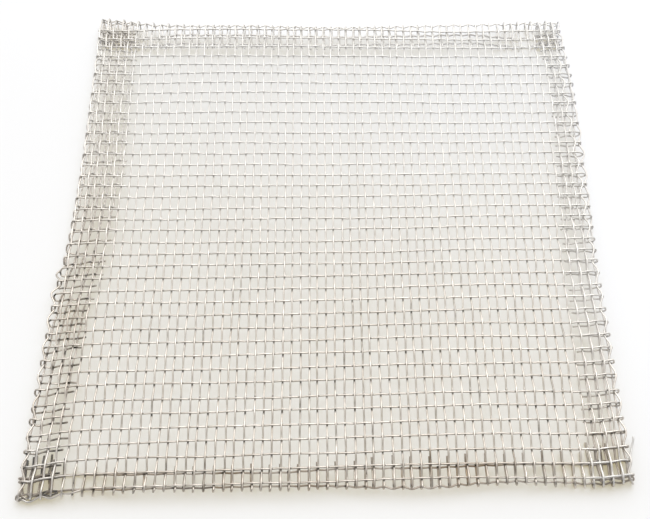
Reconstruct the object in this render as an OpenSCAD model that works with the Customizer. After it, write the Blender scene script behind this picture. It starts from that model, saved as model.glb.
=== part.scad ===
// Plain wire gauze for a burner stand: a square of woven steel wire with
// all four edges turned under. The left and right hems were folded first and the
// front and back hems over them, so each corner is four layers thick.
//
// Weft wires run left to right (X), warp wires run front to back (Y). The sheet
// lies flat with Z up, on its corners, and its origin is under its middle.

/* [Sheet] */
// Width across the folded left and right edges
sheet_w = 150; // [100:1:180]
// Depth across the folded front and back edges
sheet_d = 150; // [100:1:180]

/* [Mesh] */
// Wire diameter
wire_d = 0.5; // [0.4:0.05:0.6]
// Spacing of the warp wires
warp_pitch = 2.35; // [2.2:0.01:3]
// Spacing of the weft wires
weft_pitch = 3.69; // [3:0.01:4.5]
// Clearance between two wires where they cross
cross_gap = 0.04; // [0.04:0.01:0.06]

/* [Hems] */
// Warp wires in each side hem, beside the one in the fold
side_hem_warps = 4; // [2:1:5]
// Weft wires in the front hem, which has none in its fold
front_hem_wefts = 2; // [1:1:3]
// Weft wires in the back hem, beside the one in the fold
back_hem_wefts = 2; // [1:1:3]
// Distance from the front fold to the first weft of the front hem
front_hem_start = 1.3; // [1.3:0.1:2.5]
// Distance from the back fold to the first weft of the back hem
back_hem_start = 3; // [2.4:0.1:3.5]
// Length of the cut ends past the last wire they cross
cut_end = 2; // [1:0.1:2.2]
// Clearance between the layers of a hem
ply_gap = 0.16; // [0.16:0.02:0.4]
// How far a weft swings out and in round an edge warp, which swings the rest (below 0, more than the rest)
weft_swing = -0.05; // [-0.08:0.01:0.1]
// How far a warp swings out and in round the back edge weft, which swings the rest
warp_swing = 0.15; // [0.1:0.01:0.16]
// Length over which a hem sinks from the sheet to the bottom of a corner
ramp = 15; // [14:0.1:20]

/* [Hidden] */
$fn = 32;
weft_groups = 20;
warp_groups = 32;
wire_colour = [0.74, 0.71, 0.66];
hem_colour = [0.66, 0.61, 0.55];

// spans that meet differ by this in radius and overlap by a little, so that
// one ends inside the next and no two ends lie on the same circle
span_step = 0.003;
span_overlap = 0.002;

// crossing wires that slope pass closer than their crests are apart, so thick wire in
// a fine mesh gets higher crests, rounded up to a hundredth of a millimetre; the bend
// at a crest gives back a hundredth of what the slopes ask for
weft_slope = (wire_d + cross_gap) / warp_pitch + 2 * (2 * wire_d + cross_gap + ply_gap) / ramp;
warp_slope = (wire_d + cross_gap) / weft_pitch;
crest_rise = ceil(99 * wire_d * sqrt(1 + weft_slope ^ 2 + warp_slope ^ 2)) / 100;
crimp = max(wire_d + cross_gap, crest_rise) / 2; // height of a wave's crest
ply = 2 * crimp + wire_d + ply_gap;            // spacing of the layers in a hem
edge_r = ply / 2 + 2 * crimp + wire_d / 2;     // fold line to outline, less the swing
fold_x = sheet_w / 2 - edge_r + weft_swing;    // fold lines, from the middle
fold_y = sheet_d / 2 - edge_r + warp_swing;
// a wire that rises more steeply than this from its last crossing to the outside of
// a fold touches the wire it crosses, so the crossing keeps its distance from the fold
steepest = 18;
least_lead_x = least_lead(ply, crimp);
least_lead_y = max(least_lead(ply, crimp), least_lead(3 * ply, warp_swing));
warps = 1 + floor(2 * (fold_x - least_lead_x) / warp_pitch);
wefts = 1 + floor(2 * (fold_y - least_lead_y) / weft_pitch);
lead_x = fold_x + warp_x(0);                   // fold line to the nearest wire
stand = 3 * ply + crimp + wire_d / 2;          // height of the sheet's middle plane
side_reach = lead_x + (side_hem_warps - 1) * warp_pitch + cut_end;
end_reach = max(front_hem_start + (front_hem_wefts - 1) * weft_pitch,
  back_hem_start + (back_hem_wefts - 1) * weft_pitch) + cut_end;

// room from a crossing to a fold through the given depth, whose wires swing out by swing
function least_lead(depth, swing) =
  (depth / 2 + swing - (depth / 2 - crimp) * cos(steepest)) / sin(steepest);
function warp_x(i) = (i - (warps - 1) / 2) * warp_pitch;
function weft_y(j) = (j - (wefts - 1) / 2) * weft_pitch;

// 1 where weft j lies on the upper face of the sheet as it was before folding
// and warp i on the lower face, -1 where they change places
function over(i, j) = (i + j) % 2 == 0 ? -1 : 1;

// 0 over the doubled corner, 1 on the rest of a hem, sliding between them
function away(u, reach) = max(0, min(1, (u - reach - 1.2 * wire_d) / ramp));
function away_x(i) = away(fold_x - abs(warp_x(i)), side_reach);
function away_y(j) = away(fold_y - abs(weft_y(j)), end_reach);
function blend(a, b, t) = a + (b - a) * t;
// how far the front or back hem lies under the sheet at warp i
function drop(i) = ply * (3 - 2 * away_x(i));
function weft_swing_at(j) = blend(crimp, weft_swing, away_y(j));

// wires counted inwards from an edge: 0 is the last of the flat sheet, -1 lies in the
// fold, and the wire of the hem under number n goes over and under as number n does
function col(side, n) = side > 0 ? warps - 1 - n : n;
function row(end, n) = end > 0 ? wefts - 1 - n : n;
// the front fold has no weft in it, so the front hem is one step out with the sheet
function hem_over(i, end, n) = end * over(i, row(end, n));
function hem_wefts(end) = end > 0 ? back_hem_wefts : front_hem_wefts;
// distance from the middle of the wires in a hem
function hem_x(m) = fold_x - lead_x - m * warp_pitch;
function hem_y(end, n) = fold_y - (end > 0 ? back_hem_start : front_hem_start) - n * weft_pitch;

function unit(v) = v / norm(v);
function polar(r, a) = r * [cos(a), sin(a)];
function xz(p) = [p.x, 0, p.y];
// angle at which the line from p touches a circle, on its upper side if turn is 1
function touch(p, centre, r, turn) =
  let (v = p - centre) atan2(v.y, v.x) - turn * acos(r / norm(v));
function touch_point(p, centre, r, turn) = centre + polar(r, touch(p, centre, r, turn));
// the crests of a hem and its cut end, where the last crest is on the side called up
function with_cut_end(crests, pitch, up) =
  concat(crests, [crests[len(crests) - 1] - cut_end * [1, up * 2 * crimp / pitch]]);

// ---- wire pieces ----

module rod(p, q, r) {
  d = q - p;
  translate((p + q) / 2)
    rotate([0, acos(d.z / norm(d)), atan2(d.y, d.x)])
      cylinder(r = r, h = norm(d) + 4 * wire_d, center = true);
}

// the space between the plane through p square to n0 and the plane through q square to n1
module between(p, q, n0, n1) {
  c = cross(n0, n1);
  spare = abs(n0.z) < 0.9 ? [0, 0, 1] : [1, 0, 0];
  ez = norm(c) > 0.001 ? unit(c) : unit(cross(n0, spare));
  ey = cross(ez, n0);
  end = [(q - p) * n0, (q - p) * ey];
  normal = [n1 * n0, n1 * ey];
  side = [-normal.y, normal.x] * wire_d;
  multmatrix([
    [n0.x, ey.x, ez.x, p.x],
    [n0.y, ey.y, ez.y, p.y],
    [n0.z, ey.z, ez.z, p.z],
    [0, 0, 0, 1]])
    linear_extrude(height = 2 * norm(q - p) + 4 * wire_d, center = true)
      polygon([
        [-span_overlap, -wire_d],
        end + span_overlap * normal - side,
        end + span_overlap * normal + side,
        [-span_overlap, wire_d]]);
}

// straight spans through the points, mitred where they meet
module strand(points, first_normal) {
  n = len(points) - 1;
  ways = [for (k = [0:n - 1]) unit(points[k + 1] - points[k])];
  normals = [for (k = [0:n])
    k == 0 ? (is_undef(first_normal) ? ways[0] : first_normal)
    : k == n ? ways[n - 1] : unit(ways[k - 1] + ways[k])];
  for (k = [0:n - 1])
    intersection() {
      rod(points[k], points[k + 1], wire_d / 2 - (2 + k % 2) * span_step);
      between(points[k], points[k + 1], normals[k], normals[k + 1]);
    }
}

// the even zigzag of a woven wire along X, from crest a to crest b of count
module zigzag(a, b, count, pitch, phase) {
  slope = atan(2 * crimp / pitch);
  for (k = [a:b - 1])
    translate([(k + 0.5 - (count - 1) / 2) * pitch, 0, 0])
      intersection() {
        rotate([0, 90 + phase(k) * slope, 0])
          cylinder(d = wire_d, h = pitch + 4 * wire_d, center = true);
        cube([pitch, 4 * wire_d, 4 * crimp + 4 * wire_d], center = true);
      }
}

// an arc of wire in the XZ plane
module bend(centre, r, from, to) {
  a = min(from, to);
  translate(xz(centre)) rotate([90, 0, 0])
    rotate_extrude(angle = abs(to - from), start = a)
      translate([r, 0]) circle(d = wire_d);
}

// a wire that has come in along +X to point p turns round the fold and goes back
// through the crests of the hem; turn is 1 downwards and -1 upwards
module turn_back(p, centre, r, hem, turn) {
  bend(centre, r, touch(p, centre, r, turn), touch(hem[0], centre, r, -turn));
  strand([for (q = concat([touch_point(hem[0], centre, r, -turn)], hem)) xz(q)]);
}

// the end of an even zigzag: its last two crests, the fold and the hem
module turned_end(crests, centre, r, hem) {
  strand([for (q = concat(crests, [touch_point(crests[1], centre, r, 1)])) xz(q)], [1, 0, 0]);
  turn_back(crests[1], centre, r, hem, 1);
}

module to_side(side) { mirror([side > 0 ? 0 : 1, 0, 0]) children(); }

// ---- wires of the flat sheet ----

module weft(j) {
  translate([0, weft_y(j), stand]) {
    zigzag(1, warps - 2, warps, warp_pitch, function(k) over(k, j));
    for (side = [-1, 1])
      to_side(side)
        turned_end(
          [for (m = [1, 0]) [hem_x(m), over(col(side, m), j) * crimp]],
          [fold_x, -ply / 2],
          ply / 2 + over(col(side, -1), j) * weft_swing_at(j),
          with_cut_end(
            [for (m = [0:side_hem_warps - 1]) [hem_x(m), -ply - over(col(side, m), j) * crimp]],
            warp_pitch, -over(col(side, side_hem_warps - 1), j)));
  }
}

// a warp of the flat sheet, or with layer 1 a warp of the side hem under it
module long_warp(i, layer) {
  face = layer == 0 ? -1 : 1;
  depth = layer == 0 ? drop(i) : ply;
  swing = layer == 0 ? warp_swing : crimp;
  rotate([0, 0, 90]) {
    translate([0, 0, -layer * ply])
      zigzag(1, wefts - 2, wefts, weft_pitch, function(k) face * over(i, k));
    for (end = [-1, 1])
      to_side(end)
        turned_end(
          [for (n = [1, 0])
            [end * weft_y(row(end, n)), face * over(i, row(end, n)) * crimp - layer * ply]],
          [fold_y, -depth / 2 - layer * ply],
          depth / 2 + (end < 0 ? 0 : face * over(i, wefts) * swing),
          with_cut_end(
            [for (n = [0:hem_wefts(end) - 1])
              [hem_y(end, n), -depth - layer * ply - face * hem_over(i, end, n) * crimp]],
            weft_pitch, -face * hem_over(i, end, hem_wefts(end) - 1)));
  }
}

module warp(i) { translate([warp_x(i), 0, stand]) long_warp(i, 0); }

// ---- wires in the hems and in the folds ----

module hem_warp(side, m) {
  translate([side * hem_x(m), 0, stand]) long_warp(col(side, m), 1);
}

module hem_weft(end, n) {
  crests = [for (i = [0:warps - 1]) [warp_x(i), -drop(i) - hem_over(i, end, n) * crimp]];
  centre = [fold_x, -2.5 * ply];
  function fold_r(side) = ply / 2 + hem_over(col(side, -1), end, n) * crimp;
  function end_crest(side) = [hem_x(0), crests[col(side, 0)].y];
  function flipped(p) = [-p.x, p.y];
  translate([0, end * hem_y(end, n), stand]) {
    strand([for (p = concat(
      [flipped(touch_point(end_crest(-1), centre, fold_r(-1), -1))],
      crests,
      [touch_point(end_crest(1), centre, fold_r(1), -1)])) xz(p)]);
    for (side = [-1, 1])
      to_side(side)
        turn_back(end_crest(side), centre, fold_r(side),
          with_cut_end(
            [for (m = [0:side_hem_warps - 1])
              [hem_x(m), -2 * ply + hem_over(col(side, m), end, n) * crimp]],
            warp_pitch, hem_over(col(side, side_hem_warps - 1), end, n)), -1);
  }
}

// the warp inside a side fold, which the wefts turn round
module edge_warp(side) {
  edge = fold_x + ply / 2;
  start = wire_d / 2;
  function edge_over(j) = over(col(side, -1), j);
  function fold_edge(end) = edge - (end > 0 ? edge_over(wefts) * crimp : 0);
  to_side(side) translate([0, 0, stand]) {
    strand(concat(
      [for (y = [-fold_y, start - fold_y]) [fold_edge(-1), y, -ply / 2]],
      [for (j = [0:wefts - 1])
        [edge - edge_over(j) * (2 * crimp - weft_swing_at(j)), weft_y(j), -ply / 2]],
      [for (y = [fold_y - start, fold_y]) [fold_edge(1), y, -ply / 2]]));
    for (end = [-1, 1]) {
      translate([fold_edge(end), 0, 0]) rotate([0, 0, 90]) to_side(end)
        bend([fold_y, -1.5 * ply], ply, 90, -90);
      n = hem_wefts(end) - 1;
      crests = [for (k = [0:n])
        [hem_y(end, k), edge - hem_over(col(side, -1), end, k) * crimp]];
      tail = with_cut_end(crests, weft_pitch, -hem_over(col(side, -1), end, n));
      strand([for (p = concat([[fold_y, fold_edge(end)], [fold_y - start, fold_edge(end)]], tail))
        [p.y, end * p.x, -2.5 * ply]]);
    }
  }
}

// the weft inside the back fold, which the warps turn round
module back_edge_weft() {
  crests = [for (i = [0:warps - 1])
    [warp_x(i), drop(i) / 2, drop(i) / 2 + over(i, wefts) * (2 * crimp - warp_swing)]];
  centre = [fold_x, ply];
  function fold_r(side) = ply / 2 + over(col(side, -1), wefts) * crimp;
  function end_crest(side) = [hem_x(0), crests[col(side, 0)].z];
  function fold_start(side) =
    let (p = touch_point(end_crest(side), centre, fold_r(side), 1)) [side * p.x, 1.5 * ply, p.y];
  translate([0, fold_y, stand]) rotate([-90, 0, 0]) {
    strand(concat([fold_start(-1)], crests, [fold_start(1)]));
    for (side = [-1, 1])
      translate([0, 1.5 * ply, 0]) to_side(side)
        turn_back(end_crest(side), centre, fold_r(side),
          with_cut_end(
            [for (m = [0:side_hem_warps - 1])
              [hem_x(m), ply / 2 - over(col(side, m), wefts) * crimp]],
            warp_pitch, -over(col(side, side_hem_warps - 1), wefts)), 1);
  }
}

// ---- named parts ----

module side_hem_warps(side) {
  for (m = [0:side_hem_warps - 1]) hem_warp(side, m);
}

module end_hem_wefts(end) {
  for (n = [0:hem_wefts(end) - 1]) hem_weft(end, n);
}

function two_digits(n) = str(n < 10 ? "0" : "", n);
function weft_group(g) = str("weft_", two_digits(g + 1));
function warp_group(g) = str("warp_", two_digits(g + 1));
// the wires of group g when count wires are shared among groups
function shared(g, count, groups) = [ceil(g * count / groups):ceil((g + 1) * count / groups) - 1];

for (g = [0:weft_groups - 1])
  color(wire_colour) for (j = shared(g, wefts, weft_groups)) weft(j);

for (g = [0:warp_groups - 1])
  color(wire_colour) for (i = shared(g, warps, warp_groups)) warp(i);

color(wire_colour) edge_warp(-1);  // edge_warp_left
color(wire_colour) edge_warp(1);  // edge_warp_right
color(wire_colour) back_edge_weft();  // edge_weft_back
color(hem_colour) side_hem_warps(-1);  // hem_warps_left
color(hem_colour) side_hem_warps(1);  // hem_warps_right
color(hem_colour) end_hem_wefts(-1);  // hem_wefts_front
color(hem_colour) end_hem_wefts(1);  // hem_wefts_back
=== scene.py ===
import bpy
import math
import numpy as np
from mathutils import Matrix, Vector


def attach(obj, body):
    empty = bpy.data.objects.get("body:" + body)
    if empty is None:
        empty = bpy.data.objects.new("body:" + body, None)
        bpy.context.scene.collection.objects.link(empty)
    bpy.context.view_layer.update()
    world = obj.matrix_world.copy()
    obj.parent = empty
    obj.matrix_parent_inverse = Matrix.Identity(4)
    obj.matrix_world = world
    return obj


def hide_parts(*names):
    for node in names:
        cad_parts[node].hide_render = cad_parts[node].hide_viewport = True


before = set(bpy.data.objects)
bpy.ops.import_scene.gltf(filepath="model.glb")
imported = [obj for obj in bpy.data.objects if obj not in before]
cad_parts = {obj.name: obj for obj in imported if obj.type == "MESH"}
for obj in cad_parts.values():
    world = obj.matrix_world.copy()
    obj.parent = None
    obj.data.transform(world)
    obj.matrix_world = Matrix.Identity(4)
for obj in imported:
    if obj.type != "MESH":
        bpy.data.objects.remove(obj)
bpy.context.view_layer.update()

# A worn square of woven wire, its four edges folded under. A place in the sheet is a column and a row:
# column 0 is the left warp of the flat part and row 0 its front weft. Lower and higher ones than the
# flat part has lie in the folds and in the hems. Lengths are in mm until a mesh is made.

# ---------------------------------------------------------------- the weave, as in part.scad
WARPS, WEFTS = 62, 40
WARP_PITCH, WEFT_PITCH = 2.35, 3.69
MIDDLE_COLUMN, MIDDLE_ROW = (WARPS - 1) / 2, (WEFTS - 1) / 2
WIRE_R = 0.25
# height of the waves in a hem, where both wires bend alike, and in the flat sheet
CREST = 0.27
WEFT_CREST, WARP_CREST = 0.11, 0.43
# how far a weft swings round a side fold, and a warp round a front or back fold
WEFT_SWING, WARP_SWING = -0.08, 0.15
# spacing of the layers of a hem, and the length of the bend between two of them
PLY = 1.2
BEND = PLY / 2 * math.pi
# layers that a front or back fold spans, in the middle of its edge and in the corners
EDGE_LAYERS, CORNER_LAYERS = 1, 3
# from the middle of the sheet to the folds, and from the table to the sheet's middle plane
FOLD_X, FOLD_Y = 73.56, 73.76
STAND = 4.12
# side hems: the warps in each, and the distance from the last flat warp to the fold
SIDE_HEM_WARPS = 4
SIDE_LEAD = 1.885
# front and back hems: the wefts in each, and the distance from the bend at the back to the first
END_HEM_WEFTS = 2
BACK_HEM_START = 3.0
CUT_END = 2.0
SIDE_REACH = SIDE_LEAD + (SIDE_HEM_WARPS - 1) * WARP_PITCH + CUT_END
# the front and back folds open over a ramp, which starts this far past the side hems
RAMP, RAMP_CLEAR = 15.0, 0.6
# a wire's waves change from the flat sheet's height to the hem's between these distances past a fold
CREST_CHANGE = (-3, 1)

# ---------------------------------------------------------------- randomness
# a seed for each kind. From "weft" on, a wire's own column or row is added to it
SEEDS = {"offsets": 11, "tones": 5, "weft": 3000, "warp": 4000, "stains": 7000,
         "weft sway": 100, "weft ripple": 150, "warp sway": 300, "warp ripple": 350}
WAVE_PARTS = 4


class Wave:
    """A smooth random function of one length, the sum of a few sines."""

    def __init__(self, seed, height, shortest, longest):
        draws = np.random.default_rng(seed)
        self.frequencies = 2 * math.pi / draws.uniform(shortest, longest, WAVE_PARTS)
        self.phases = draws.uniform(0, 2 * math.pi, WAVE_PARTS)
        self.heights = height * draws.uniform(0.5, 1.0, WAVE_PARTS) / math.sqrt(WAVE_PARTS)

    def __call__(self, at):
        angles = np.multiply.outer(at, self.frequencies) + self.phases
        return np.sum(self.heights * np.sin(angles), axis=-1)


# how far each wire lies off its even place: {row: shift} and {column: shift}
WEFT_UNEVEN, WARP_UNEVEN = 0.13, 0.08
ROWS, COLUMNS = range(-3, WEFTS + 7), range(-6, WARPS + 6)
offsets = np.random.default_rng(SEEDS["offsets"])
WEFT_OFFSETS = dict(zip(ROWS, offsets.normal(0, WEFT_UNEVEN, len(ROWS))))
WARP_OFFSETS = dict(zip(COLUMNS, offsets.normal(0, WARP_UNEVEN, len(COLUMNS))))

# ---------------------------------------------------------------- shifts along the edges
# a table has a value for each mm along an edge, its corners rounded off over 5 mm to each side
TABLE_PLACES = np.arange(-80, 81)
ROUNDING = 5


def shift_table(shifts):
    """A table of the shifts given at a few places, straight between them but for the rounding."""
    places = np.arange(TABLE_PLACES[0] - ROUNDING, TABLE_PLACES[-1] + ROUNDING + 1)
    window = np.ones(2 * ROUNDING + 1) / (2 * ROUNDING + 1)
    straight = np.interp(places, list(shifts), list(shifts.values()))
    return np.convolve(straight, window, mode="same")[ROUNDING:-ROUNDING]


# how much further out than an even one each fold runs: {place along the edge: shift}
FOLD_OUT = {
    ("x", -1): shift_table({-72: 0.9, -60: 1.0, -48: 0.9, -36: 0.6, -24: 0.3, -16: -0.3, -8: -1.2,
                            0: -1.6, 8: -1.9, 24: -2.2, 40: -2.1, 60: -2.3, 72: -1.9}),
    ("x", 1): shift_table({-72: 0.5, -60: 0.4, -32: 0.9, -16: 0.8, 0: 1.4, 16: 1.7, 32: 2.3,
                           44: 2.95, 56: 3.15, 64: 2.5, 72: 2.1}),
    ("y", -1): shift_table({-72: -3.0, -68: -2.9, -64: -2.4, -60: -1.95, -56: -1.7, -52: -1.15,
                            -48: -0.95, -42: -1.2, -36: -0.85, -24: -0.75, -12: -0.5, 0: -0.7,
                            12: -0.4, 24: 0.0, 36: -0.5, 44: -0.75, 50: -0.9, 60: -1.7, 64: -1.4,
                            72: -1.7}),
    ("y", 1): shift_table({-72: 2.2, -64: 2.1, -56: 0.7, -40: -0.2, -20: -0.4, 0: -0.9, 16: -0.1,
                           28: 0.4, 40: 0.75, 52: 1.2, 64: 1.4, 72: 1.6})}
# how far each hem has slid along its own fold
HEM_SLIDE = {
    ("x", -1): shift_table({-72: 0, -64: -0.2, -52: -1.4, -24: -1.4, -8: -2.3, 50: -2.3, 66: 0, 72: 0}),
    ("x", 1): shift_table({-72: 0, -66: 0, -50: -0.45, 50: -0.45, 66: 0, 72: 0}),
    ("y", -1): shift_table({-72: -1.0, -62: -1.0, -50: -0.6, -30: -0.3, 0: -0.3, 30: -0.2, 50: 0.1,
                            60: 0.6, 72: 0.6}),
    ("y", 1): shift_table({-72: 0, -66: 0, -50: 0.5, 50: 0.5, 66: 0, 72: 0})}
# how far past the front fold, along the warps, the two wefts of the front hem lie
FRONT_HEM = [
    shift_table({-72: BEND - 0.5, -62: BEND + 0.2, -10: BEND + 0.3, 16: BEND - 0.5, 30: BEND - 0.5,
                 38: BEND - 0.15, 60: BEND - 0.15, 72: BEND - 0.4}),
    shift_table({-72: BEND + 3.6, -62: BEND + 4.0, -10: BEND + 4.0, 16: BEND + 4.5, 72: BEND + 4.4})]


def smooth(t):
    """0 below 0, 1 above 1 and an S-shaped rise between."""
    t = np.clip(t, 0, 1)
    return t * t * (3 - 2 * t)


def fade(at, start, end):
    """A smooth change from 0 at start to 1 at end, which may be the lower one."""
    return smooth((at - start) / (end - start))


def by_side(tables, axis, side, along):
    """Values of an axis's two tables at places along its edges, each from the table of its side."""
    low, high = (np.interp(along, TABLE_PLACES, tables[(axis, end)]) for end in (-1, 1))
    return np.where(side > 0, high, low)


def fold_line(axis, side, along):
    """Distance of a fold from the middle of the sheet at places along it."""
    return (FOLD_X if axis == "x" else FOLD_Y) + by_side(FOLD_OUT, axis, side, along)


def hem_rows(end, x):
    """Places past an end fold, along the warps at x, of its first rows past the flat part."""
    if end > 0:
        first = BEND + BACK_HEM_START
        places = (BEND / 2, first, first + WEFT_PITCH, first + 2 * WEFT_PITCH)
        return [np.full_like(x, place) for place in places]
    first, second = (np.interp(x, TABLE_PLACES, table) for table in FRONT_HEM)
    return [first, second, second + WEFT_PITCH]


# ---------------------------------------------------------------- drawn out of square
# how far the worn sheet is drawn out of square: shifts in mm, as terms c * u^a * v^b written
# {(a, b): c}, where u and v are a place's x and y over half the sheet's side. The numbers c were
# fitted to where the wires of the real sheet lie.
DRAWN_X = {(0, 0): 0.82, (0, 1): -0.81, (0, 2): -0.26, (0, 3): -0.17, (0, 4): 0.14, (1, 0): -1.50,
           (1, 1): 0.67, (1, 2): 0.41, (1, 3): -0.21, (2, 0): -0.89, (2, 1): 0.03, (2, 2): -0.38,
           (3, 0): -0.42, (3, 1): -0.78, (4, 0): -0.32, (5, 0): 6.55, (5, 1): 1.16, (7, 0): -5.32,
           (7, 1): -1.53}
DRAWN_Y = {(0, 0): -1.10, (0, 1): -0.99, (0, 2): -0.58, (0, 3): 5.74, (0, 4): 0.16, (0, 5): -5.16,
           (1, 0): 0.89, (1, 1): -3.10, (1, 2): -1.27, (1, 3): 0.47, (1, 4): 0.12, (2, 0): 0.83,
           (2, 1): -0.91, (2, 2): -1.65, (2, 3): -0.14, (3, 0): 0.52, (3, 1): 2.89, (3, 2): 1.53,
           (4, 0): -1.05, (4, 1): 1.04, (5, 0): -1.80, (8, 0): 0.18, (8, 1): 0.46, (8, 2): 0.96,
           (9, 0): 1.34, (9, 1): -2.56, (9, 2): 0.12}
HALF_SIDE = 75
# from this share of half the side outwards the shifts stay as they are
DRAWN_WITHIN = 0.965
# the back rows lie further forward round a place left of the middle
DIP_DEPTH, DIP_X, DIP_WIDTH = 0.55, -20, 28
DIP_FADE = (48, 62)


def drawn(terms, x, y):
    """Shifts at the places x, y by the terms of one direction."""
    u, v = (np.clip(place / HALF_SIDE, -DRAWN_WITHIN, DRAWN_WITHIN) for place in (x, y))
    return sum(c * u ** a * v ** b for (a, b), c in terms.items())


def back_dip(x, y):
    """How much further forward the back rows lie at the places x, y."""
    return DIP_DEPTH * np.exp(-((x - DIP_X) / DIP_WIDTH) ** 2) * fade(y, *DIP_FADE)


# ---------------------------------------------------------------- the folded sheet
def past_flat(at, count):
    """How many columns or rows past the flat part a place is, below 0 within it."""
    return np.abs(at - (count - 1) / 2) - (count - 1) / 2


def rows_along_warps(row, x):
    """The end of the sheet (front -1, back 1), the fold there and the distance from the middle."""
    end = np.where(row > MIDDLE_ROW, 1, -1)
    fold = fold_line("y", end, x)
    past = np.where(end > 0, row - (WEFTS - 1), -row)
    distance = np.abs(row - MIDDLE_ROW) * WEFT_PITCH
    last_flat = np.full_like(fold, MIDDLE_ROW * WEFT_PITCH)
    for hem in (-1, 1):
        rows = np.stack([last_flat] + [fold + place for place in hem_rows(hem, x)], axis=-1)
        before = np.clip(past.astype(int), 0, rows.shape[-1] - 2)
        low = np.take_along_axis(rows, before[..., None], axis=-1)[..., 0]
        high = np.take_along_axis(rows, before[..., None] + 1, axis=-1)[..., 0]
        in_hem = (end == hem) & (past > 0)
        distance = np.where(in_hem, low + (high - low) * (past - before), distance)
    return end, fold, distance


def sheet(column, row, weft_wave, warp_wave, shift_x, shift_y):
    """Points of a wire of the folded sheet.

    The side folds come first, and the front and back folds wrap round them. weft_wave and warp_wave
    are the wire's height over the sheet's middle plane, in crests of a weft or of a warp."""
    radius = PLY / 2
    # the side folds
    from_middle = (column - MIDDLE_COLUMN) * WARP_PITCH
    side = np.where(from_middle > 0, 1, -1)
    along_side = np.clip((row - MIDDLE_ROW) * WEFT_PITCH, -FOLD_Y, FOLD_Y)
    side_fold = fold_line("x", side, along_side)
    past_side = np.abs(from_middle) - side_fold
    side_turn = np.clip(past_side / radius, 0, math.pi)
    folded_x = side_fold + radius * np.sin(side_turn) - np.clip(past_side - BEND, 0, None)
    x = np.where(past_side < 0, np.abs(from_middle), folded_x)
    depth = radius * (1 - np.cos(side_turn))
    # the front and back folds
    end, end_fold, distance = rows_along_warps(row, side * x)
    past_end = distance - end_fold
    end_turn = np.clip(past_end / radius, 0, math.pi)
    # in the flat sheet the warps do most of the bending, in a hem both wires bend alike
    flat = (1 - fade(past_side, *CREST_CHANGE)) * (1 - fade(past_end, *CREST_CHANGE))
    weft_crest = CREST + (WEFT_CREST - CREST) * flat
    warp_crest = CREST + (WARP_CREST - CREST) * flat
    # on a side bend the warp gives way and the weft lies close, on an end bend both swing
    bent = np.sin(side_turn) ** 2
    weft_lift = weft_wave * (weft_crest * (1 - bent) + WEFT_SWING * bent)
    warp_lift = warp_wave * (warp_crest * (1 - bent) + (2 * CREST - WEFT_SWING) * bent)
    swing = (CREST - WARP_SWING) * (warp_wave - weft_wave)
    lift = weft_lift + warp_lift - np.sin(end_turn) ** 2 * swing
    # an end fold spans one layer in the middle of its edge and three in the corners
    flat_edge = np.clip((FOLD_X - x - SIDE_REACH - RAMP_CLEAR) / RAMP, 0, 1)
    drop = PLY * (CORNER_LAYERS + (EDGE_LAYERS - CORNER_LAYERS) * flat_edge)
    out = drop / 2 - depth + lift * np.cos(side_turn)
    folded_y = end_fold - np.clip(past_end - BEND, 0, None)
    y = end * (np.where(past_end < 0, distance, folded_y) + out * np.sin(end_turn))
    z = -drop / 2 + out * np.cos(end_turn)
    x = side * (x + lift * np.sin(side_turn))
    # drawn out of square, slid and wandering
    inner_x = side * np.minimum(np.abs(x), FOLD_X)
    inner_y = end * np.minimum(np.abs(y), FOLD_Y)
    drawn_x = drawn(DRAWN_X, inner_x, inner_y)
    drawn_y = drawn(DRAWN_Y, inner_x, inner_y) - back_dip(inner_x, inner_y)
    slide_x = smooth(end_turn / math.pi) * by_side(HEM_SLIDE, "y", end, inner_x)
    slide_y = smooth(side_turn / math.pi) * by_side(HEM_SLIDE, "x", side, inner_y)
    return np.stack([x + drawn_x + slide_x + shift_x, y + drawn_y + slide_y + shift_y, STAND + z], axis=-1)


# ---------------------------------------------------------------- wear, painted shade and painted light
# places in mm between which a part of the sheet fades in
LEFT, RIGHT, FRONT, BACK, NEAR = (-58, -68), (60, 68), (-60, -70), (62, 68), (10, -60)
# and in columns and rows past the flat part for the hems' flaps
SIDE_FLAP, END_FLAP = (0.6, 1.4), (0.3, 0.8)
# strengths of the painted shade at crossings (on the warps also their stains), along the wires in the flaps
# and at cut ends, by the part of the sheet
CROSSING_SHADE_AND_STAINS = {"all": 0.95, "near": 0.35, "left flap": 0.2}
FLAP_SHADE = {"left flap": 0.12, "corner flap": 0.16}
CUT_END_SHADE = {"left": 0.6, "right": 0.1, "front": 0.4}
# strengths of the browning, which in the flaps is painted shade, and of the brown painted shade in the
# flaps at the front, of which wires with painted light lose nothing
BROWNING_AND_SHADE = {"all": 0.08, "near": 0.18, "front": 0.15, "left": 0.25, "back left": -0.125, "flap": 0.15}
FLAP_BROWN_SHADE = {"front flap": 0.4, "corner flap": 0.5}
# the shares of the painted shade and grime and of the browning that a wire with painted light loses
PAINTED_LIGHT_SHADE_LOSS, PAINTED_LIGHT_BROWNING_LOSS = 0.9, 0.8
# painted light that makes the wires paler towards the back, its gain towards the right, where they fade in,
# and its losses
PAINTED_LIGHT_BACKWARD, PAINTED_LIGHT_BACKWARD_FADE = 0.9, (-45, 65)
PAINTED_LIGHT_RIGHT_GAIN, PAINTED_LIGHT_RIGHT_FADE = 0.1, (0, 60)
PAINTED_LIGHT_BACK_LOSS, PAINTED_LIGHT_LEFT_LOSS = 0.2, 0.3
# painted light on the right hem, which fades in towards the back
PAINTED_LIGHT_RIGHT_HEM, PAINTED_LIGHT_RIGHT_HEM_FADE = 0.7, (-75, -15)
# painted light on the front corners, and the share that their flaps lose
PAINTED_LIGHT_CORNERS = {"front left": 0.5, "front right": 0.85}
PAINTED_LIGHT_FLAP_LOSS = 0.6


def weigh(strengths, parts):
    """The sum of the parts of the sheet, each by its strength."""
    return sum(strength * parts[part] for part, strength in strengths.items())


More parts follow.
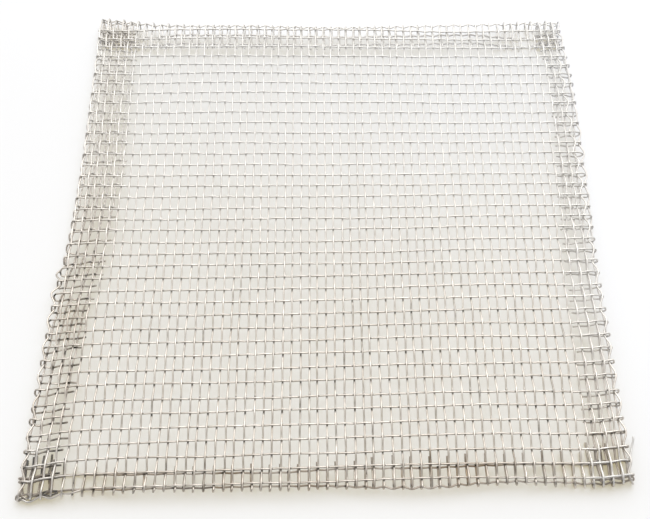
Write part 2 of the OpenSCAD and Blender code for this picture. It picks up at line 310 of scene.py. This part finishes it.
def painted_light_amount(x, y, flap, parts):
    """The strongest of the painted lights that make a wire paler."""
    backward = fade(y, *PAINTED_LIGHT_BACKWARD_FADE) * (PAINTED_LIGHT_BACKWARD + PAINTED_LIGHT_RIGHT_GAIN * fade(x, *PAINTED_LIGHT_RIGHT_FADE))
    backward = backward * (1 - PAINTED_LIGHT_BACK_LOSS * parts["back"]) * (1 - PAINTED_LIGHT_LEFT_LOSS * parts["left"])
    right_hem = PAINTED_LIGHT_RIGHT_HEM * parts["right"] * fade(y, *PAINTED_LIGHT_RIGHT_HEM_FADE)
    front_corners = weigh(PAINTED_LIGHT_CORNERS, parts) * (1 - PAINTED_LIGHT_FLAP_LOSS * flap)
    back_right = parts["right"] * parts["back"]
    return np.maximum.reduce([backward, right_hem, front_corners, back_right])


def wear_shade_and_light(column, row, points, crossing, cut_end):
    """Painted shade and grime, browning with painted shade in the flaps, and painted light, 0 to 1, of a
    wire's points.

    crossing is 1 where a wire lies over this one, where the painted shade is strongest, and also carries
    the warps' stains; cut_end is 1 in a cut end."""
    x, y = points[:, 0], points[:, 1]
    flap = np.maximum(fade(past_flat(column, WARPS), *SIDE_FLAP), fade(past_flat(row, WEFTS), *END_FLAP))
    left, right, front, back = fade(x, *LEFT), fade(x, *RIGHT), fade(y, *FRONT), fade(y, *BACK)
    parts = {"all": 1, "near": fade(y, *NEAR), "left": left, "right": right, "front": front, "back": back,
             "front left": left * front, "front right": right * front, "back left": left * back,
             "flap": flap, "left flap": left * flap, "front flap": front * flap,
             "corner flap": (left + right) * front * flap}
    painted_light = painted_light_amount(x, y, flap, parts)
    shade_and_grime = crossing * weigh(CROSSING_SHADE_AND_STAINS, parts) + weigh(FLAP_SHADE, parts)
    shade_and_grime = (shade_and_grime + cut_end * weigh(CUT_END_SHADE, parts)) * (1 - PAINTED_LIGHT_SHADE_LOSS * painted_light)
    browning_and_shade = weigh(BROWNING_AND_SHADE, parts) * (1 - PAINTED_LIGHT_BROWNING_LOSS * painted_light) + weigh(FLAP_BROWN_SHADE, parts)
    return [np.clip(mark, 0, 1) for mark in (shade_and_grime, browning_and_shade, painted_light)]


def crossings(at, pitch, under, over_share, aside, reach):
    """How much of a crossing's painted shade lies at places along a wire, given in columns or rows.

    under says where the wire lies under the other one, and where it lies over it has over_share.
    The painted shade is centred aside of the crossing and reaches so far along the wire, both in mm."""
    from_shade = (at - np.round(at)) * pitch + aside
    return np.where(under, 1.0, over_share) * np.exp(-(from_shade / reach) ** 2)


def patch(along, at, half, steepness):
    """A patch round a place along a wire, gone at steepness times half from it."""
    return smooth(steepness - np.abs(along - at) / half)


# ---------------------------------------------------------------- the wires' paths
# shortest and longest cut end, over that of an even one, of wefts and of warps at the back
WEFT_CUT_ENDS, WARP_CUT_ENDS = (0.7, 1.15), (0.7, 1.2)
# and of warps at the front, where long and short ones take turns, and in the front corners
LONG_CUT_ENDS, SHORT_CUT_ENDS, CORNER_CUT_ENDS = (0.9, 1.3), (0.2, 0.4), (2.0, 3.0)
# the column where the turns change over, and the one from which the long ones get longer by so much
TURNS_CHANGE, LONGER_FROM, LONGER_BY = 24, 34, 0.5
# how far the ends of the wires drift aside, and how many flat warps on each side end in a corner
WEFT_DRIFT, WARP_DRIFT, CORNER_DRIFT = 0.38, 0.12, 0.55
CORNER_WARPS = 4
# columns and rows past the flat part between which the drift comes in, and then the cut end
WEFT_DRIFT_FADE, WARP_DRIFT_FADE = (1, 1 + SIDE_HEM_WARPS), (0.5, 2.3)
WEFT_CUT_FADE = (SIDE_HEM_WARPS + 0.1, SIDE_HEM_WARPS + 0.6)
WARP_CUT_FADE = (END_HEM_WEFTS + 0.05, END_HEM_WEFTS + 0.45)
# the warps in the side folds zigzag between the wefts' ends: how far, and where that fades in
ZIGZAG, ZIGZAG_LEFT, ZIGZAG_RIGHT = 0.5, (-5, -13), (62, 54)
# the front end of the right one sticks out and up, from so many rows past the flat part and over
# so many more
STRAY_OUT, STRAY_UP = 2.6, 2.0
STRAY_START, STRAY_ROWS = 1.2, 2.2
# burnt stretches: of the front hem's first weft, by its x, and of a few warps there, {column: y}
BURNT_ROW, BURNT_X = -1, -33
BURNT_WARPS = {17: -73, 41: -70, 50: -70, 53: -70}
WEFT_BURNT_GRIME, WARP_BURNT_GRIME = 0.55, 0.4
# stains on each warp: how many, between which places, how long by half and how strong
STAINS = 2
STAIN_PLACES, STAIN_HALVES, STAIN_DEPTHS = (-95, 10), (1.0, 3.5), (0.05, 0.4)


def stations(low, high, edge, count, fine, coarse):
    """Places along a wire from low to high, closer together in the hems and their folds."""
    return np.concatenate([np.arange(low, edge, fine), np.arange(edge, count - 1 - edge, coarse),
                           np.arange(count - 1 - edge, high, fine)])


def weft_path(row):
    """The points of a weft and their marks."""
    draws = np.random.default_rng(SEEDS["weft"] + row)
    low = -1 - SIDE_HEM_WARPS - CUT_END * draws.uniform(*WEFT_CUT_ENDS) / WARP_PITCH
    high = WARPS + SIDE_HEM_WARPS + CUT_END * draws.uniform(*WEFT_CUT_ENDS) / WARP_PITCH
    column = stations(low, high, edge=0.5, count=WARPS, fine=0.11, coarse=0.25)
    x = (column - MIDDLE_COLUMN) * WARP_PITCH
    past = past_flat(column, WARPS)
    sway = Wave(SEEDS["weft sway"] + row, height=0.15, shortest=22, longest=90)(x)
    ripple = Wave(SEEDS["weft ripple"] + row, height=0.035, shortest=5, longest=9)(x)
    drifts = draws.normal(0, WEFT_DRIFT, 2)
    drift = np.where(column < 0, *drifts) * fade(past, *WEFT_DRIFT_FADE)
    shift = WEFT_OFFSETS[row] + sway + ripple + drift
    rows = np.full_like(column, float(row))
    points = sheet(column, rows, np.cos(np.pi * (column + row)), 0.0, 0.0, shift)
    under = (np.round(column) + row) % 2 == 1
    crossing = crossings(column, WARP_PITCH, under, over_share=0.15, aside=0, reach=0.34)
    cut_end = fade(past, *WEFT_CUT_FADE)
    shade_and_grime, browning_and_shade, painted_light = wear_shade_and_light(column, rows, points, crossing, cut_end)
    if row == BURNT_ROW:
        burnt = patch(points[:, 0], BURNT_X, half=5, steepness=1.6)
        shade_and_grime, browning_and_shade = np.maximum(shade_and_grime, WEFT_BURNT_GRIME * burnt), np.maximum(browning_and_shade, burnt)
    return points, shade_and_grime, browning_and_shade, painted_light


def front_cut_end(draws, column, in_corner):
    """Length of a warp's cut end in the front hem, over that of an even one."""
    if column % 2 == (column > TURNS_CHANGE):
        length = draws.uniform(*LONG_CUT_ENDS) + (LONGER_BY if column > LONGER_FROM else 0)
    else:
        length = draws.uniform(*SHORT_CUT_ENDS)
    return draws.uniform(*CORNER_CUT_ENDS) if in_corner else length


def warp_path(column):
    """The points of a warp and their marks."""
    draws = np.random.default_rng(SEEDS["warp"] + column)
    in_corner = past_flat(column, WARPS) > -CORNER_WARPS
    low = -END_HEM_WEFTS - CUT_END * front_cut_end(draws, column, in_corner) / WEFT_PITCH
    high = WEFTS + END_HEM_WEFTS + CUT_END * draws.uniform(*WARP_CUT_ENDS) / WEFT_PITCH
    row = stations(low, high, edge=0.4, count=WEFTS, fine=0.06, coarse=0.16)
    y = (row - MIDDLE_ROW) * WEFT_PITCH
    past = past_flat(row, WEFTS)
    wave = -np.cos(np.pi * (column + row))
    sway = Wave(SEEDS["warp sway"] + column, height=0.12, shortest=25, longest=110)(y)
    ripple = Wave(SEEDS["warp ripple"] + column, height=0.035, shortest=6, longest=10)(y)
    drifts = draws.normal(0, CORNER_DRIFT if in_corner else WARP_DRIFT, 2)
    drift = np.where(row < 0, *drifts) * fade(past, *WARP_DRIFT_FADE)
    shift = WARP_OFFSETS[column] + sway + ripple + drift
    stray = np.zeros_like(row)
    if column == -1:
        shift = shift - ZIGZAG * fade(y, *ZIGZAG_LEFT) * wave
    if column == WARPS:
        # 0 to 1 along the end that sticks out, on which the zigzag is gone by half way
        stray = np.clip((-STRAY_START - row) / STRAY_ROWS, 0, 1)
        shift = shift + ZIGZAG * fade(y, *ZIGZAG_RIGHT) * (1 - smooth(2 * stray)) * wave
    columns = np.full_like(row, float(column))
    points = sheet(columns, row, 0.0, wave, shift, 0.0)
    points[:, 0] += STRAY_OUT * stray
    points[:, 2] += STRAY_UP * stray
    under = (np.round(row) + column) % 2 == 0
    crossing = crossings(row, WEFT_PITCH, under, over_share=0.1, aside=0.22, reach=0.45)
    stains = np.random.default_rng(SEEDS["stains"] + column)
    for _ in range(STAINS):
        at, half, depth = (stains.uniform(*limits) for limits in (STAIN_PLACES, STAIN_HALVES, STAIN_DEPTHS))
        crossing = np.maximum(crossing, depth * patch(points[:, 1], at, half, steepness=1.6))
    cut_end = fade(past, *WARP_CUT_FADE)
    shade_and_grime, browning_and_shade, painted_light = wear_shade_and_light(columns, row, points, crossing, cut_end)
    if column in BURNT_WARPS:
        burnt = patch(points[:, 1], BURNT_WARPS[column], half=3.5, steepness=1.8)
        shade_and_grime, browning_and_shade = np.maximum(shade_and_grime, WARP_BURNT_GRIME * burnt), np.maximum(browning_and_shade, burnt)
    # the end that sticks out has no painted shade, grime or browning, and painted light from a third of it
    # on
    painted_light = np.maximum(painted_light, np.clip(3 * stray, 0, 1))
    return points, shade_and_grime * (1 - stray), browning_and_shade * (1 - stray), painted_light


# ---------------------------------------------------------------- wires as meshes
TUBE_SIDES = 8
METRES = 0.001


def tube(path):
    """Vertices, in metres, and faces of a round wire along a path in mm, closed at both ends."""
    along = np.gradient(path, axis=0)
    along /= np.linalg.norm(along, axis=1)[:, None]
    # each ring starts in the direction of the one before, so that the tube doesn't twist
    across = np.cross(along[0], (0.0, 0.0, 1.0))
    first = np.zeros((len(path), 3))
    for k, forward in enumerate(along):
        across = across - forward * np.dot(across, forward)
        across = across / np.linalg.norm(across)
        first[k] = across
    second = np.cross(along, first)
    angles = (2 * math.pi * (np.arange(TUBE_SIDES) + 0.5) / TUBE_SIDES)[None, :, None]
    rings = first[:, None, :] * np.cos(angles) + second[:, None, :] * np.sin(angles)
    verts = (path[:, None, :] + rings * WIRE_R).reshape(-1, 3)
    ring = np.arange(len(path) - 1)[:, None] * TUBE_SIDES
    corner = np.arange(TUBE_SIDES)[None, :]
    next_corner = (corner + 1) % TUBE_SIDES
    quads = np.stack([ring + corner, ring + next_corner, ring + TUBE_SIDES + next_corner,
                      ring + TUBE_SIDES + corner], axis=-1).reshape(-1, 4)
    start = list(range(TUBE_SIDES))[::-1]
    end = [len(verts) - TUBE_SIDES + k for k in range(TUBE_SIDES)]
    return verts * METRES, quads.tolist() + [start, end]


def piece(name, paths, node, material, wire_tones):
    """One Blender object for the wires of a node, with the marks that its material reads."""
    verts, faces = [], []
    marks = {"tone": [], "shade_and_grime": [], "brown_and_shade": [], "painted_light": []}
    base = 0
    for (path, *worn_and_painted), tone in zip(paths, wire_tones):
        wire_verts, wire_faces = tube(path)
        verts.append(wire_verts)
        faces += [[k + base for k in face] for face in wire_faces]
        base += len(wire_verts)
        marks["tone"].append(np.full(len(wire_verts), tone))
        for mark, values in zip(("shade_and_grime", "brown_and_shade", "painted_light"), worn_and_painted):
            marks[mark].append(np.repeat(values, TUBE_SIDES))
    mesh = bpy.data.meshes.new(name)
    mesh.from_pydata(np.concatenate(verts).tolist(), [], faces)
    mesh.update()
    for polygon in mesh.polygons:
        polygon.use_smooth = len(polygon.vertices) == 4
    for mark, values in marks.items():
        attribute = mesh.attributes.new(mark, "FLOAT", "POINT")
        attribute.data.foreach_set("value", np.concatenate(values).astype(np.float32))
    obj = bpy.data.objects.new(name, mesh)
    bpy.context.scene.collection.objects.link(obj)
    mesh.materials.append(material)
    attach(obj, "root")
    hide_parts(node)


# ---------------------------------------------------------------- materials
class Nodes:
    """The emptied node tree of a material or of the world."""

    def __init__(self, owner):
        owner.use_nodes = True
        self.tree = owner.node_tree
        self.tree.nodes.clear()

    def add(self, kind, inputs=(), **settings):
        """A new node. Its inputs, given as (input, value), are set to values or linked to sockets."""
        node = self.tree.nodes.new(kind)
        for setting, value in settings.items():
            setattr(node, setting, value)
        for key, value in inputs:
            if isinstance(value, bpy.types.NodeSocket):
                self.tree.links.new(value, node.inputs[key])
            else:
                node.inputs[key].default_value = value
        return node

    def maths(self, operation, a, b, clamp=True):
        """The result of an operation on two numbers or sockets, kept within 0 to 1 if clamp."""
        inputs = [(0, a), (1, b)]
        return self.add("ShaderNodeMath", inputs, operation=operation, use_clamp=clamp).outputs[0]

    def mixed(self, factor, a, b):
        """A colour that goes from a to b, each an RGB colour or a socket, as factor goes from 0 to 1."""
        a, b = ((*colour, 1) if isinstance(colour, tuple) else colour for colour in (a, b))
        return self.add("ShaderNodeMix", [(0, factor), (6, a), (7, b)], data_type="RGBA").outputs[2]


# the dark colour of the painted shade, which also serves the grime of burns and stains
SHADE_AND_SOOT = (0.045, 0.038, 0.03)
# the brown of burns and browning, which also serves the painted shade of the flaps
BURNT_AND_SHADED_BROWN = (0.36, 0.27, 0.18)
# the colour of the painted light on the palest wires, and how far it takes over and makes them less
# metallic
PAINTED_LIGHT_GREY = (0.86, 0.865, 0.85)
PAINTED_LIGHT_SHARE = 0.6


def steel(name, light, dark, rough, metal):
    """Drawn steel wire: mottled, browned in patches and grimy, with painted shade where the wires touch, in
    the flaps and at cut ends, and painted light where it is marked.
    """
    material = bpy.data.materials.new(name)
    nodes = Nodes(material)
    place = nodes.add("ShaderNodeTexCoord").outputs["Object"]

    def noise(scale, detail):
        inputs = [("Scale", scale), ("Detail", detail), ("Vector", place)]
        return nodes.add("ShaderNodeTexNoise", inputs).outputs["Fac"]

    def spread(value, low, high):
        inputs = [("From Min", low), ("From Max", high), ("Value", value)]
        return nodes.add("ShaderNodeMapRange", inputs).outputs["Result"]

    def mark(which):
        return nodes.add("ShaderNodeAttribute", attribute_name=which).outputs["Fac"]

    mottling = noise(scale=420.0, detail=4.0)
    toned = nodes.maths("ADD", mottling, mark("tone"), clamp=False)
    colour = nodes.mixed(spread(toned, low=0.25, high=0.75), dark, light)
    patches = spread(noise(scale=90.0, detail=3.0), low=0.30, high=0.72)
    # browning in patches, which in the flaps is painted shade
    colour = nodes.mixed(nodes.maths("MULTIPLY", patches, mark("brown_and_shade")), colour, BURNT_AND_SHADED_BROWN)
    speckles = spread(noise(scale=700.0, detail=2.0), low=0.05, high=0.55)
    # painted shade at crossings, in the flaps and at cut ends, and grime of burns and stains
    colour = nodes.mixed(nodes.maths("MULTIPLY", mark("shade_and_grime"), speckles), colour, SHADE_AND_SOOT)
    # painted light: a paler and less metallic wire
    painted_lightening = nodes.maths("MULTIPLY", mark("painted_light"), PAINTED_LIGHT_SHARE)
    colour = nodes.mixed(painted_lightening, colour, PAINTED_LIGHT_GREY)
    roughness = nodes.add("ShaderNodeMapRange", [("To Min", rough - 0.08), ("To Max", rough + 0.10),
                                                 ("Value", mottling)])
    scratches = noise(scale=3000.0, detail=2.0)
    bump = nodes.add("ShaderNodeBump", [("Strength", 0.15), ("Distance", 0.00003), ("Height", scratches)])
    surface = nodes.add("ShaderNodeBsdfPrincipled", [
        ("Base Color", colour), ("Metallic", nodes.maths("SUBTRACT", metal, painted_lightening)),
        ("Roughness", roughness.outputs["Result"]), ("Normal", bump.outputs["Normal"])])
    nodes.add("ShaderNodeOutputMaterial", [("Surface", surface.outputs["BSDF"])])
    return material


BARE_WIRE = steel("bare_wire", light=(0.86, 0.81, 0.745), dark=(0.64, 0.595, 0.54), rough=0.36, metal=1.0)
# the hem wires' darker tones are a little lighter than the bare wire's: painted light against the shade in
# the hems
DULLED_WIRE = steel("dulled_wire", light=(0.87, 0.81, 0.75), dark=(0.68, 0.62, 0.56), rough=0.42, metal=0.7)

# ---------------------------------------------------------------- the pieces
WEFT_GROUPS, WARP_GROUPS = 20, 32
# how much lighter or darker each wire is than the rest, drawn for more wires than there are, with
# the numbers of the first warp, of the first wire in a side hem and of the first in an end hem
TONE_SPREAD, TONES_DRAWN = 0.10, 200
FIRST_WARP, FIRST_SIDE, FIRST_END = 60, 130, 140
tones = np.random.default_rng(SEEDS["tones"]).normal(0, TONE_SPREAD, TONES_DRAWN)
WEFT_TONES, WARP_TONES = tones[:FIRST_WARP], tones[FIRST_WARP:FIRST_SIDE]
SIDE_HEM_TONES, END_HEM_TONES = tones[FIRST_SIDE:FIRST_END], tones[FIRST_END:]


def members(group, count, groups):
    """The wires in one of the groups when count wires are shared out evenly, in their order."""
    return range(math.ceil(group * count / groups), math.ceil((group + 1) * count / groups))


for group in range(WEFT_GROUPS):
    wires = members(group, WEFTS, WEFT_GROUPS)
    piece(f"wefts_{group + 1:02d}", [weft_path(row) for row in wires], f"weft_{group + 1:02d}",
          BARE_WIRE, [WEFT_TONES[row] for row in wires])
for group in range(WARP_GROUPS):
    wires = members(group, WARPS, WARP_GROUPS)
    piece(f"warps_{group + 1:02d}", [warp_path(column) for column in wires], f"warp_{group + 1:02d}",
          BARE_WIRE, [WARP_TONES[column] for column in wires])
for word, edge, outward in (("left", -1, -1), ("right", WARPS, 1)):
    piece(f"fold_warp_{word}", [warp_path(edge)], f"edge_warp_{word}", BARE_WIRE, [0.0])
    hem = [warp_path(edge + outward * (k + 1)) for k in range(SIDE_HEM_WARPS)]
    piece(f"hem_warp_wires_{word}", hem, f"hem_warps_{word}", DULLED_WIRE, SIDE_HEM_TONES)
piece("fold_weft_back", [weft_path(WEFTS)], "edge_weft_back", BARE_WIRE, [0.0])
for word, rows in (("front", (-1, -2)), ("back", (WEFTS + 1, WEFTS + 2))):
    piece(f"hem_weft_wires_{word}", [weft_path(row) for row in rows], f"hem_wefts_{word}",
          DULLED_WIRE, END_HEM_TONES)

# ---------------------------------------------------------------- floor, in metres
FLOOR_HALF = 3.0
# the floor lies this far below z = 0, so that no wire lies in its plane
FLOOR_GAP = 0.00005
FLOOR_COLOUR = (0.579, 0.628, 0.763, 1)
# what makes the lit floor look white, near the camera and far from it: a glow, weaker and warmer towards
# the front left, which paints shade on the floor there
NEAR_GLOW, FAR_GLOW = (0.311, 0.253, 0.096), (0.350, 0.300, 0.162)
# how fast the near glow turns into the far one, per metre, and how far it has at the origin
GLOW_SLOPE, GLOW_START = (6.0, 8.0, 0), 0.13


def white_floor():
    """A floor that is seen white and keeps the gauze's shadow."""
    material = bpy.data.materials.new("pale_floor")
    nodes = Nodes(material)
    diffuse = nodes.add("ShaderNodeBsdfDiffuse", [("Color", FLOOR_COLOUR)])
    place = nodes.add("ShaderNodeTexCoord").outputs["Object"]
    slope = nodes.add("ShaderNodeVectorMath", [(0, place), (1, GLOW_SLOPE)], operation="DOT_PRODUCT")
    glow = nodes.mixed(nodes.maths("ADD", slope.outputs["Value"], GLOW_START), NEAR_GLOW, FAR_GLOW)
    rays = nodes.add("ShaderNodeLightPath").outputs
    seen = nodes.maths("MAXIMUM", rays["Is Camera Ray"], rays["Is Glossy Ray"], clamp=False)
    seen = nodes.maths("MAXIMUM", seen, rays["Is Transmission Ray"], clamp=False)
    emission = nodes.add("ShaderNodeEmission", [("Color", glow), ("Strength", seen)])
    both = nodes.add("ShaderNodeAddShader", [(0, diffuse.outputs[0]), (1, emission.outputs[0])])
    nodes.add("ShaderNodeOutputMaterial", [("Surface", both.outputs[0])])
    return material


floor_mesh = bpy.data.meshes.new("floor")
floor_corners = [(x * FLOOR_HALF, y * FLOOR_HALF, 0) for x, y in ((-1, -1), (1, -1), (1, 1), (-1, 1))]
floor_mesh.from_pydata(floor_corners, [], [(0, 1, 2, 3)])
floor_mesh.materials.append(white_floor())
floor = bpy.data.objects.new("floor", floor_mesh)
bpy.context.scene.collection.objects.link(floor)
floor.location.z = -FLOOR_GAP

# ---------------------------------------------------------------- light
# the studio is brightest up at the back and darkest down in front of the gauze: {share of the way: grey}
STUDIO_BRIGHTEST = (-0.10, 0.86, 0.50)
STUDIO_GREYS = {0.20: 0.04, 0.5: 0.34, 0.7: 0.78, 1.0: 1.0}
STUDIO_STRENGTH = 1.3
SOFTBOX_AT, SOFTBOX_SIZE, SOFTBOX_WATTS = Vector((0.18, 0.42, 1.02)), 1.0, 6.0


def light_studio(world):
    """A world that goes from dark to bright in one direction."""
    nodes = Nodes(world)
    direction = nodes.add("ShaderNodeTexCoord").outputs["Generated"]
    facing = nodes.add("ShaderNodeVectorMath", [(0, direction), (1, STUDIO_BRIGHTEST)],
                       operation="DOT_PRODUCT")
    # -1 to 1 becomes 0 to 1
    share = nodes.add("ShaderNodeMath", [(0, facing.outputs["Value"]), (1, 0.5), (2, 0.5)],
                      operation="MULTIPLY_ADD")
    ramp = nodes.add("ShaderNodeValToRGB", [("Fac", share.outputs[0])])
    stops = ramp.color_ramp.elements
    first, *inner, last = STUDIO_GREYS
    stops[0].position, stops[1].position = first, last
    for position in inner:
        stops.new(position)
    for stop, grey in zip(stops, STUDIO_GREYS.values()):
        stop.color = (grey, grey, grey, 1)
    background = nodes.add("ShaderNodeBackground", [("Color", ramp.outputs["Color"]),
                                                    ("Strength", STUDIO_STRENGTH)])
    nodes.add("ShaderNodeOutputWorld", [("Surface", background.outputs[0])])


bpy.context.scene.world = bpy.data.worlds.new("studio")
light_studio(bpy.context.scene.world)

softbox = bpy.data.lights.new("softbox", "AREA")
softbox.shape = "SQUARE"
softbox.size = SOFTBOX_SIZE
softbox.energy = SOFTBOX_WATTS
softbox_object = bpy.data.objects.new("softbox", softbox)
bpy.context.scene.collection.objects.link(softbox_object)
softbox_object.location = SOFTBOX_AT
softbox_object.rotation_euler = (-SOFTBOX_AT).to_track_quat("-Z", "Y").to_euler()

# ---------------------------------------------------------------- camera
# it stands where the photo was taken from, in metres, and is turned by degrees. Its focal length is
# in pixels of a picture 650 wide
CAMERA_AT = (0.0020652, -0.1239728, 0.2177973)
CAMERA_TURN = (27.536, 0.571, 0.204)
FOCAL_PIXELS, IMAGE_WIDTH, SENSOR_WIDTH = 874.07, 650, 36.0
camera = bpy.data.cameras.new("camera")
camera.sensor_fit = "HORIZONTAL"
camera.sensor_width = SENSOR_WIDTH
camera.lens = FOCAL_PIXELS / IMAGE_WIDTH * SENSOR_WIDTH
camera.clip_start = 0.01
camera.clip_end = 20
camera_object = bpy.data.objects.new("camera", camera)
bpy.context.scene.collection.objects.link(camera_object)
camera_object.location = CAMERA_AT
camera_object.rotation_euler = [math.radians(turn) for turn in CAMERA_TURN]
bpy.context.scene.camera = camera_object
bpy.context.scene.view_settings.view_transform = "Standard"
